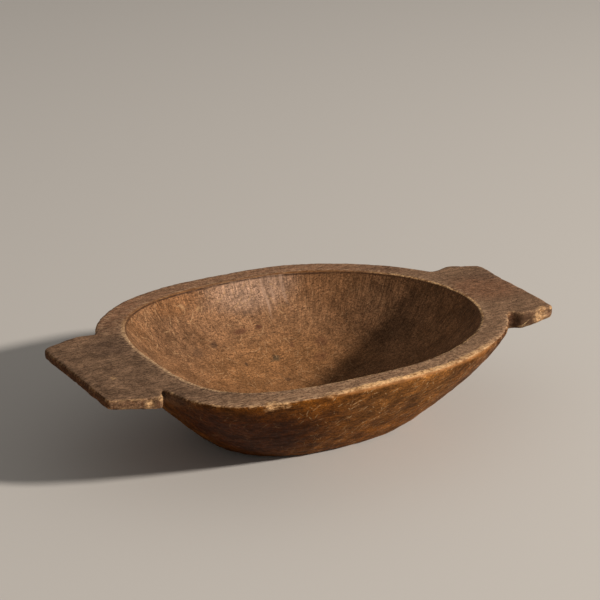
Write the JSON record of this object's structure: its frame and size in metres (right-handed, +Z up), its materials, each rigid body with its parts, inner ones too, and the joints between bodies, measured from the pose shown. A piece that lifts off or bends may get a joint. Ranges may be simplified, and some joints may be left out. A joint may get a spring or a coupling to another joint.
{
  "type": "carved wooden dough bowl",
  "caption": "Wide oval bowl carved from one block of wood, with flaring walls, a broad flat rim, a small flat base and a flat lug handle at each end, level with the rim.",
  "frame": {"origin": "centre of the overall box, on the surface that the flat base rests on", "axes": "+X runs along the length from the left lug to the right lug, +Z is up out of the bowl's mouth, -Y is the straighter long side"},
  "size_m": [0.618, 0.4077, 0.132],
  "materials": {
    "carved_wood": "old hand-carved wood, worn bare along the edges, dull with use and wax"
  },
  "bodies": {
    "root": {"bowl": "carved_wood"}
  },
  "joints": []
}
